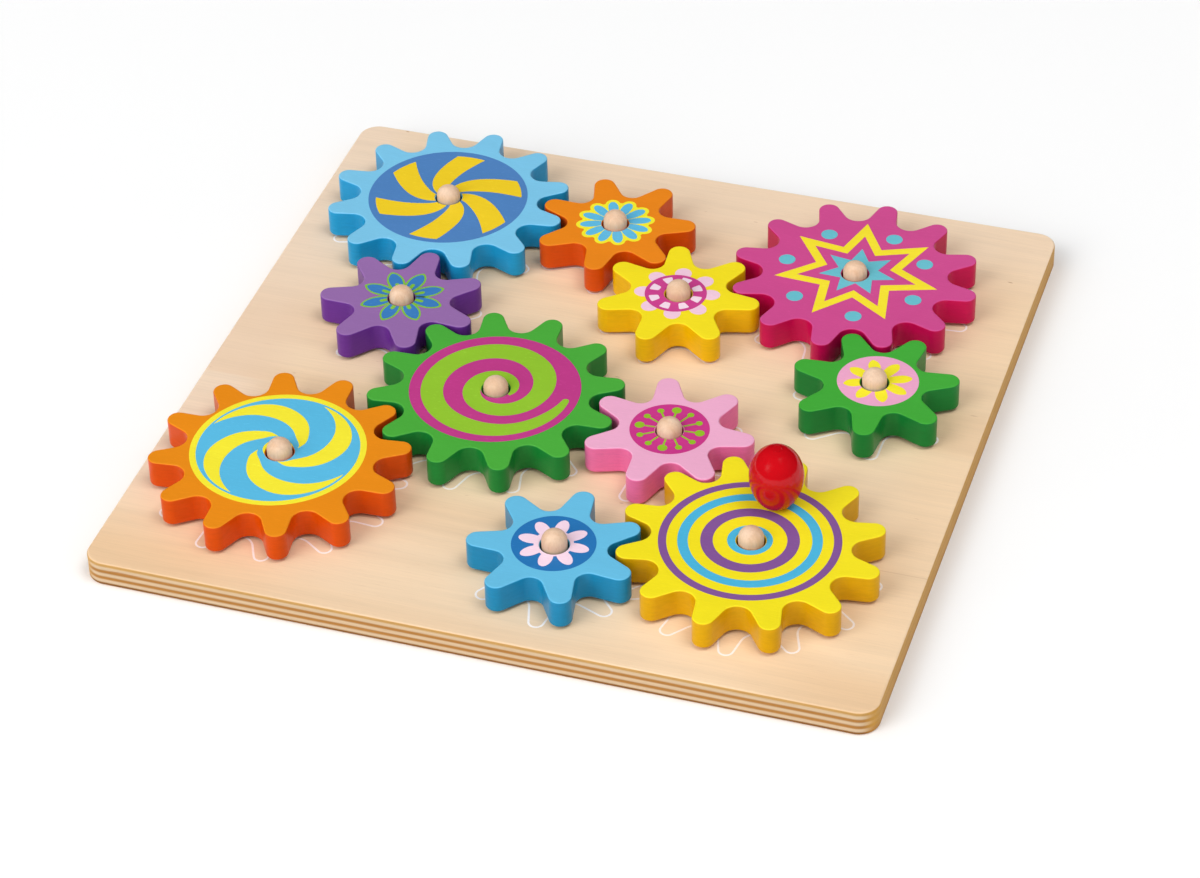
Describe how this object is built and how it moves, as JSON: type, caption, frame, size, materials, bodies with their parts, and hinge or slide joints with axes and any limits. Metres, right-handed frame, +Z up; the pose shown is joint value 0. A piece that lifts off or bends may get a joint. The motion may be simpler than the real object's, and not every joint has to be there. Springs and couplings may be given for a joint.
{
  "type": "wooden gear toy",
  "caption": "Square plywood board with painted wooden gears in one meshed train on dowel pegs; an egg-shaped handle on one large gear turns them all.",
  "frame": {"origin": "middle of the board's underside, which rests on the table", "axes": "+Z up, +X to the right along the front edge, +Y towards the back edge"},
  "size_m": [0.3, 0.3, 0.0494],
  "materials": {
    "plywood": "bare pale birch-like plywood, sanded, thin clear lacquer, ply layers showing on the edges",
    "dowel_wood": "bare pale hardwood dowel, sanded, thin clear lacquer",
    "red_lacquer": "turned wood with glossy red lacquer",
    "blue_paint": "blue paint on sanded wood, semi-gloss lacquer, printed pattern on the upper face",
    "orange_paint": "orange paint on sanded wood, semi-gloss lacquer, printed pattern on the upper face",
    "green_paint": "green paint on sanded wood, semi-gloss lacquer, printed pattern on the upper face",
    "yellow_paint": "yellow paint on sanded wood, semi-gloss lacquer, printed pattern on the upper face",
    "magenta_paint": "magenta paint on sanded wood, semi-gloss lacquer, printed pattern on the upper face",
    "purple_paint": "purple paint on sanded wood, semi-gloss lacquer, printed pattern on the upper face",
    "pink_paint": "pink paint on sanded wood, semi-gloss lacquer, printed pattern on the upper face"
  },
  "bodies": {
    "board": {"base_board": "plywood", "peg_blue_large": "dowel_wood", "peg_orange_large": "dowel_wood", "peg_green_large": "dowel_wood", "peg_yellow_large": "dowel_wood", "peg_magenta_large": "dowel_wood", "peg_orange_small": "dowel_wood", "peg_purple_small": "dowel_wood", "peg_yellow_small": "dowel_wood", "peg_green_small": "dowel_wood", "peg_pink_small": "dowel_wood", "peg_blue_small": "dowel_wood"},
    "gear_blue_large": {"gear_blue_large": "blue_paint"},
    "gear_orange_large": {"gear_orange_large": "orange_paint"},
    "gear_green_large": {"gear_green_large": "green_paint"},
    "gear_yellow_large": {"gear_yellow_large": "yellow_paint", "crank_knob": "red_lacquer", "knob_dowel": "dowel_wood"},
    "gear_magenta_large": {"gear_magenta_large": "magenta_paint"},
    "gear_orange_small": {"gear_orange_small": "orange_paint"},
    "gear_purple_small": {"gear_purple_small": "purple_paint"},
    "gear_yellow_small": {"gear_yellow_small": "yellow_paint"},
    "gear_green_small": {"gear_green_small": "green_paint"},
    "gear_pink_small": {"gear_pink_small": "pink_paint"},
    "gear_blue_small": {"gear_blue_small": "blue_paint"}
  },
  "joints": [
    {"name": "crank_turn", "type": "hinge", "parent": "board", "child": "gear_yellow_large", "pos_m": [0.0868, -0.08517, 0.0104], "axis": [0, 0, 1], "continuous": true},
    {"name": "turn_blue_large", "type": "hinge", "parent": "board", "child": "gear_blue_large", "pos_m": [-0.09102, 0.08993, 0.0104], "axis": [0, 0, 1], "continuous": true},
    {"name": "turn_orange_large", "type": "hinge", "parent": "board", "child": "gear_orange_large", "pos_m": [-0.09594, -0.08529, 0.0104], "axis": [0, 0, 1], "continuous": true},
    {"name": "turn_green_large", "type": "hinge", "parent": "board", "child": "gear_green_large", "pos_m": [-0.03088, -0.02603, 0.0104], "axis": [0, 0, 1], "continuous": true},
    {"name": "turn_magenta_large", "type": "hinge", "parent": "board", "child": "gear_magenta_large", "pos_m": [0.08141, 0.08449, 0.0104], "axis": [0, 0, 1], "continuous": true},
    {"name": "turn_orange_small", "type": "hinge", "parent": "board", "child": "gear_orange_small", "pos_m": [-0.02002, 0.09093, 0.0104], "axis": [0, 0, 1], "continuous": true},
    {"name": "turn_purple_small", "type": "hinge", "parent": "board", "child": "gear_purple_small", "pos_m": [-0.08567, 0.01913, 0.0104], "axis": [0, 0, 1], "continuous": true},
    {"name": "turn_yellow_small", "type": "hinge", "parent": "board", "child": "gear_yellow_small", "pos_m": [0.01823, 0.0521, 0.0104], "axis": [0, 0, 1], "continuous": true},
    {"name": "turn_green_small", "type": "hinge", "parent": "board", "child": "gear_green_small", "pos_m": [0.10632, 0.018, 0.0104], "axis": [0, 0, 1], "continuous": true},
    {"name": "turn_pink_small", "type": "hinge", "parent": "board", "child": "gear_pink_small", "pos_m": [0.03988, -0.03188, 0.0104], "axis": [0, 0, 1], "continuous": true},
    {"name": "turn_blue_small", "type": "hinge", "parent": "board", "child": "gear_blue_small", "pos_m": [0.01939, -0.10749, 0.0104], "axis": [0, 0, 1], "continuous": true}
  ],
  "couplings": [
    {"joint": "turn_blue_large", "follows": "crank_turn", "ratio": 1},
    {"joint": "turn_orange_large", "follows": "crank_turn", "ratio": -1},
    {"joint": "turn_green_large", "follows": "crank_turn", "ratio": 1},
    {"joint": "turn_magenta_large", "follows": "crank_turn", "ratio": -1},
    {"joint": "turn_orange_small", "follows": "crank_turn", "ratio": -1.7143},
    {"joint": "turn_purple_small", "follows": "crank_turn", "ratio": -1.7143},
    {"joint": "turn_yellow_small", "follows": "crank_turn", "ratio": 1.7143},
    {"joint": "turn_green_small", "follows": "crank_turn", "ratio": 1.7143},
    {"joint": "turn_pink_small", "follows": "crank_turn", "ratio": -1.7143},
    {"joint": "turn_blue_small", "follows": "crank_turn", "ratio": -1.7143}
  ]
}
